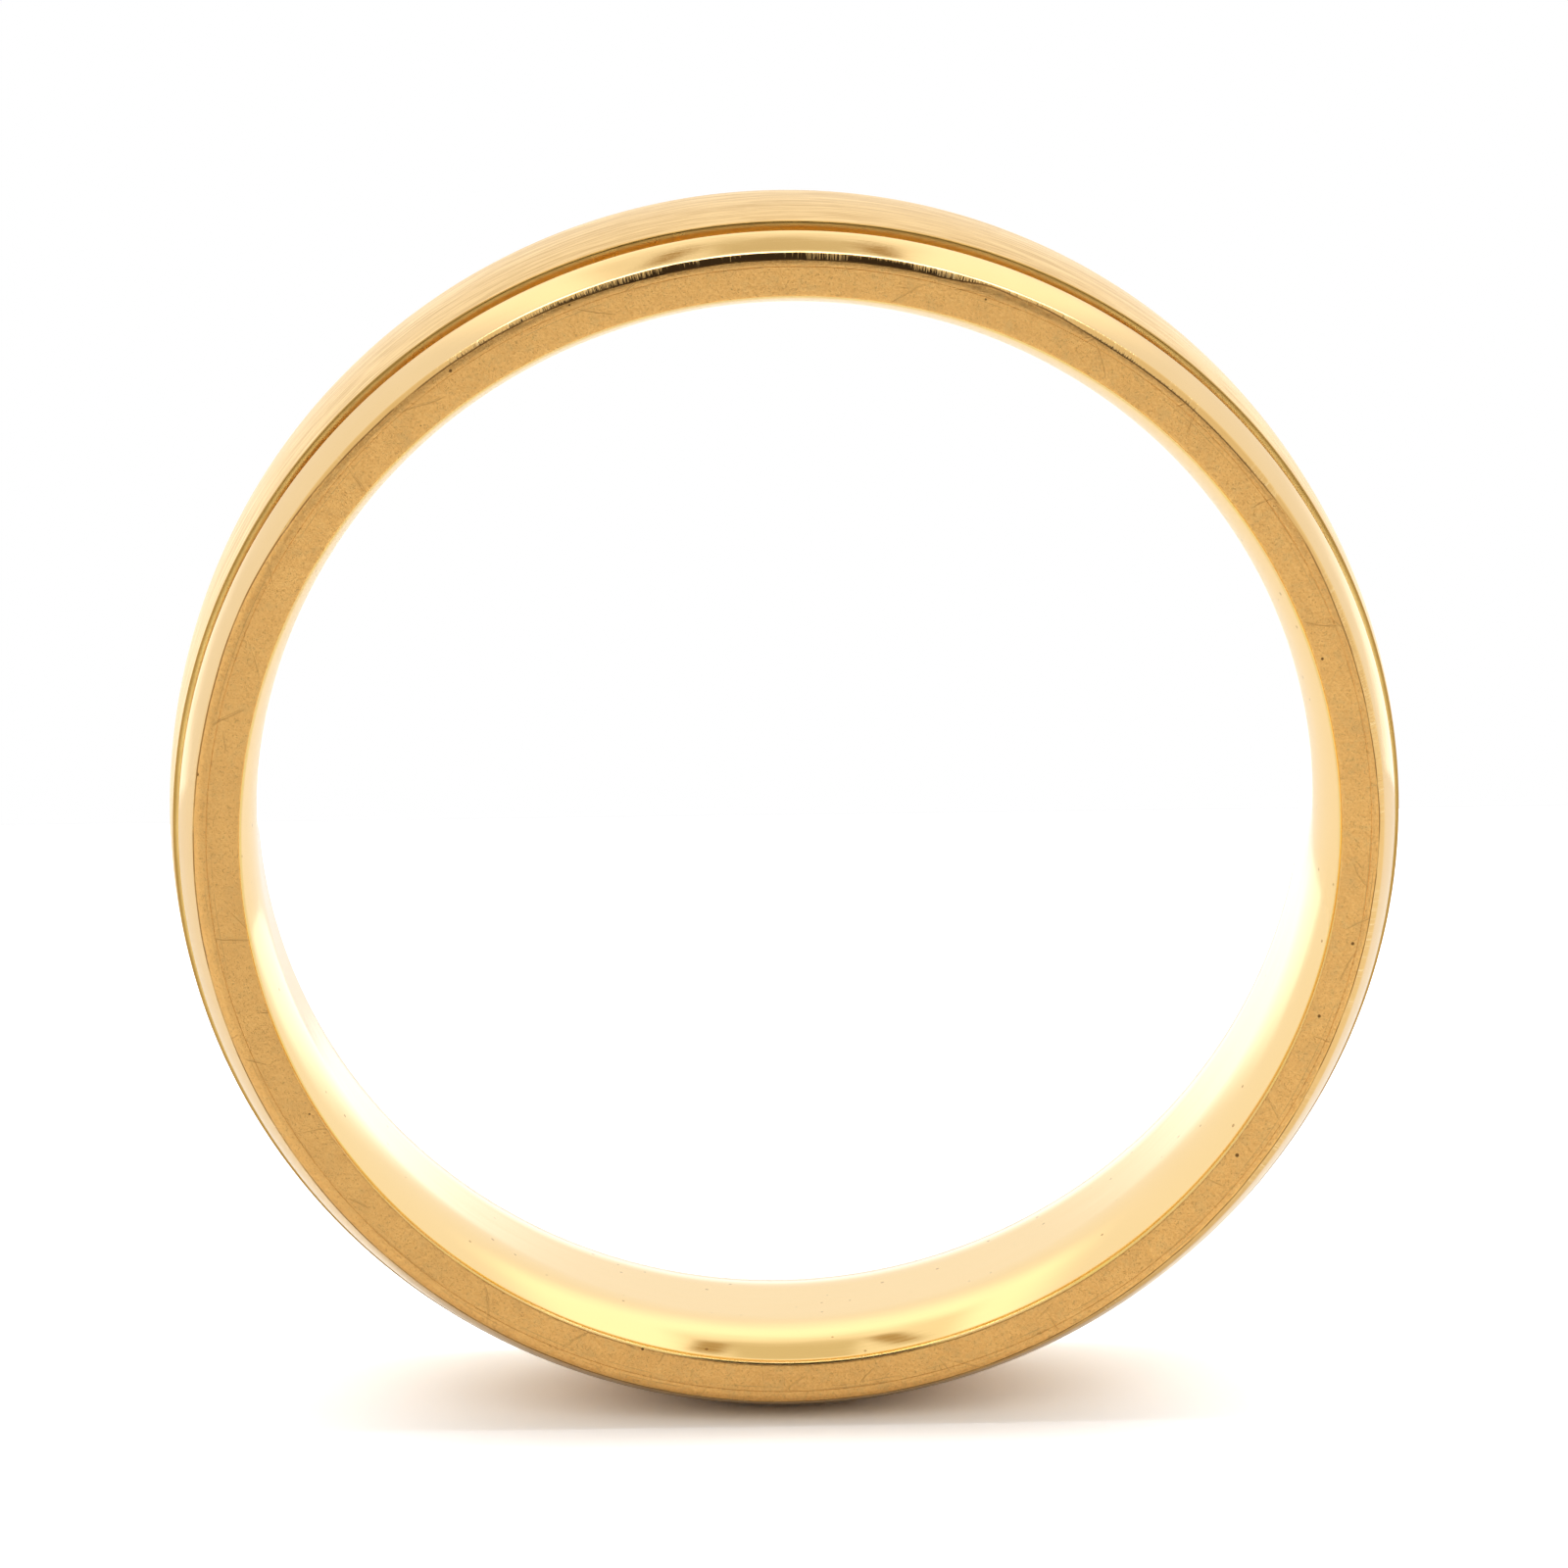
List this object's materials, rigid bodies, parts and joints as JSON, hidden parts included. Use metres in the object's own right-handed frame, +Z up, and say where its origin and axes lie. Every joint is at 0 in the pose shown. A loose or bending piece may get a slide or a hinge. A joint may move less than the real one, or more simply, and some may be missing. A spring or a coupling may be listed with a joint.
{
  "type": "wedding band",
  "caption": "Flat-sided comfort-fit finger ring with a satin centre band between two polished sloping rails, set off by narrow grooves.",
  "frame": {"origin": "centre of the bore at mid width", "axes": "+Y along the bore's axis, from the front side face to the rear one; +Z up as the band stands on edge"},
  "size_m": [0.0231, 0.005, 0.023],
  "materials": {
    "sleeve_gold": "18 carat yellow gold, mirror-polished bore and fine matte side faces",
    "satin_gold": "18 carat yellow gold, satin, brushed around the ring",
    "polished_gold": "18 carat yellow gold, mirror polished"
  },
  "bodies": {
    "root": {"inner_sleeve": "sleeve_gold", "centre_band": "satin_gold", "front_edge_ring": "polished_gold", "rear_edge_ring": "polished_gold"}
  },
  "joints": []
}
